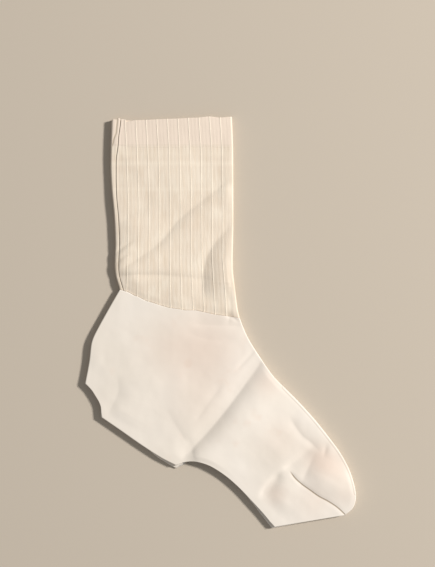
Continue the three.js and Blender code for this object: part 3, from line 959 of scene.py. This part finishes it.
class OvershoeSettings(bpy.types.PropertyGroup):
    """Sizes and colours of the overshoes."""

    rib_radius: bpy.props.FloatProperty(
        name="Rib radius", description="Radius of a cuff's raised rib", default=0.00038, unit="LENGTH"
    )
    cuff_light: bpy.props.FloatVectorProperty(
        name="Cuff, light", description="Lighter colour of the cuff", default=srgb(236, 225, 209), **COLOUR
    )
    cuff_dark: bpy.props.FloatVectorProperty(
        name="Cuff, dark", description="Darker colour of the cuff", default=srgb(228, 214, 197), **COLOUR
    )
    cuff_shade: bpy.props.FloatVectorProperty(
        name="Cuff streak", description="Streaks between the wales", default=srgb(224, 208, 188), **COLOUR
    )
    # Colour of the lighter knit courses, and of the raised ribs, which it makes lighter as a painted
    # highlight on their tops
    light_knit_and_rib_highlight: bpy.props.FloatVectorProperty(
        name="Rib", description="Colour of a raised rib", default=srgb(247, 237, 220), **COLOUR
    )
    hem_tint: bpy.props.FloatVectorProperty(
        name="Hem", description="Colour of the turned hem", default=srgb(232, 217, 202), **COLOUR
    )
    foot_light: bpy.props.FloatVectorProperty(
        name="Foot, light", description="Lighter colour of the foot", default=srgb(240, 233, 224), **COLOUR
    )
    foot_dark: bpy.props.FloatVectorProperty(
        name="Foot, dark", description="Darker colour of the foot", default=srgb(236, 228, 217), **COLOUR
    )
    foot_blush: bpy.props.FloatVectorProperty(
        name="Foot blush", description="Faint pink stains", default=srgb(236, 220, 207), **COLOUR
    )
    seam_tint: bpy.props.FloatVectorProperty(
        name="Seam", description="Colour in a seam's groove", default=srgb(190, 176, 156), **COLOUR
    )
    # Colour of the pinker places, used also for painted shade in the toe's hollows and beside the instep
    foot_tint_and_shade: bpy.props.FloatVectorProperty(
        name="Foot tint and shade", description="Pinker and shaded places", default=srgb(230, 214, 201), **COLOUR
    )
    dart_tint: bpy.props.FloatVectorProperty(
        name="Dart", description="Colour in the toe dart's groove", default=srgb(174, 158, 138), **COLOUR
    )
    floor_colour: bpy.props.FloatVectorProperty(
        name="Floor", description="Colour of the plain floor", default=srgb(196, 186, 172), **COLOUR
    )


def settings_now():
    """The scene's settings as plain numbers, with each colour a tuple."""
    group = bpy.context.scene.overshoes

    def plain(value):
        return value if isinstance(value, float) else tuple(value)

    names = OvershoeSettings.__annotations__
    return types.SimpleNamespace(**{name: plain(getattr(group, name)) for name in names})


class OVERSHOE_OT_cuffs(bpy.types.Operator):
    """Make the two ribbed cuffs and the upper cuff's raised ribs"""

    bl_idname = "overshoe.cuffs"
    bl_label = "Cuffs"

    def execute(self, context):
        settings = settings_now()
        knit = cuff_material(settings)
        upper = cuff_sheet("upper_cuff_knit", "upper_cuff", False, (170, 108, 34, 7), knit)
        lower = cuff_sheet("lower_cuff_knit", "lower_cuff", True, (60, 30, 30, 7), knit)
        cords = ribs("upper_cuff_ribs", settings.rib_radius, rib_material(settings))
        return {"FINISHED"}


class OVERSHOE_OT_feet(bpy.types.Operator):
    """Make the four smooth foot panels, from the floor up"""

    bl_idname = "overshoe.feet"
    bl_label = "Foot panels"

    def execute(self, context):
        cloth = foot_material(settings_now())
        coarse, fine = (3.0, 40), (1.0, 140)
        upper_base = 2 * LAYER_STEP
        rows = [
            ("lower_foot_under_cloth", "lower_foot_under", 0.0, True, False, coarse),
            ("lower_foot_top_cloth", "lower_foot_top", 0.0, True, True, coarse),
            ("upper_foot_under_cloth", "upper_foot_under", upper_base, False, False, coarse),
            ("upper_foot_top_cloth", "upper_foot_top", upper_base, False, True, fine),
        ]
        for name, node, base, hidden, over, (spacing, columns) in rows:
            obj = foot_sheet(name, node, base, hidden, over, spacing, columns, cloth)
        return {"FINISHED"}


CAMERA_HEIGHT = 1.1
SENSOR_HEIGHT = 24.0
VIEW_HEIGHT = 464.94  # millimetres of floor from the top of the view to the bottom
LOOK_AT = (-2.5, 31.5)
FLOOR_HALF = 4.0
KEY_LIGHT = {"place_at": (3.25, 1.1, 2.6), "size": 0.5, "power": 226.0, "colour": (1.0, 0.96, 0.912)}
ROOM_COLOUR = (1.0, 0.985, 0.965, 1.0)
ROOM_STRENGTH = 0.3


class OVERSHOE_OT_stage(bpy.types.Operator):
    """Make the plain floor, the soft lights and the camera straight above"""

    bl_idname = "overshoe.stage"
    bl_label = "Stage"

    def execute(self, context):
        settings = settings_now()
        mesh = bpy.data.meshes.new("floor")
        half = FLOOR_HALF
        corners = [(-half, -half, 0), (half, -half, 0), (half, half, 0), (-half, half, 0)]
        mesh.from_pydata(corners, [], [(0, 1, 2, 3)])
        floor = bpy.data.objects.new("floor", mesh)
        bpy.context.scene.collection.objects.link(floor)
        material, _, _, shader = node_chain("Plain floor", 0.9, 0.0)
        shader.inputs["Base Color"].default_value = settings.floor_colour
        mesh.materials.append(material)
        lamp("key", **KEY_LIGHT)
        world = bpy.data.worlds.new("Soft room")
        world.use_nodes = True
        background = world.node_tree.nodes["Background"]
        background.inputs["Color"].default_value = ROOM_COLOUR
        background.inputs["Strength"].default_value = ROOM_STRENGTH
        bpy.context.scene.world = world
        camera_data = bpy.data.cameras.new("camera")
        camera_data.sensor_fit = "VERTICAL"
        camera_data.sensor_height = SENSOR_HEIGHT
        camera_data.lens = SENSOR_HEIGHT * CAMERA_HEIGHT / (VIEW_HEIGHT * MM)
        camera = bpy.data.objects.new("camera", camera_data)
        bpy.context.scene.collection.objects.link(camera)
        camera.location = (LOOK_AT[0] * MM + PLAN_SHIFT[0], LOOK_AT[1] * MM + PLAN_SHIFT[1], CAMERA_HEIGHT)
        bpy.context.scene.camera = camera
        bpy.context.scene.view_settings.view_transform = "Standard"
        return {"FINISHED"}


def lamp(name, place_at, size, power, colour):
    """A square area light that faces the garment."""
    data = bpy.data.lights.new(name, "AREA")
    data.size = size
    data.energy = power
    data.color = colour
    obj = bpy.data.objects.new(name, data)
    bpy.context.scene.collection.objects.link(obj)
    obj.location = place_at
    obj.rotation_euler = (-Vector(place_at)).to_track_quat("-Z", "Y").to_euler()


class OVERSHOE_PT_panel(bpy.types.Panel):
    """Lists the settings and the steps that make the overshoes"""

    bl_label = "Overshoes"
    bl_idname = "OVERSHOE_PT_panel"
    bl_space_type = "VIEW_3D"
    bl_region_type = "UI"
    bl_category = "Overshoes"

    def draw(self, context):
        for name in OvershoeSettings.__annotations__:
            self.layout.prop(context.scene.overshoes, name)
        for operator in OPERATORS:
            self.layout.operator(operator.bl_idname)


OPERATORS = (OVERSHOE_OT_stage, OVERSHOE_OT_feet, OVERSHOE_OT_cuffs)
CLASSES = (OvershoeSettings, *OPERATORS, OVERSHOE_PT_panel)


def register():
    for cls in CLASSES:
        bpy.utils.register_class(cls)
    bpy.types.Scene.overshoes = bpy.props.PointerProperty(type=OvershoeSettings)


def unregister():
    del bpy.types.Scene.overshoes
    for cls in reversed(CLASSES):
        bpy.utils.unregister_class(cls)


def main():
    register()
    bpy.ops.overshoe.stage()
    bpy.ops.overshoe.feet()
    bpy.ops.overshoe.cuffs()


if __name__ == "__main__":
    main()
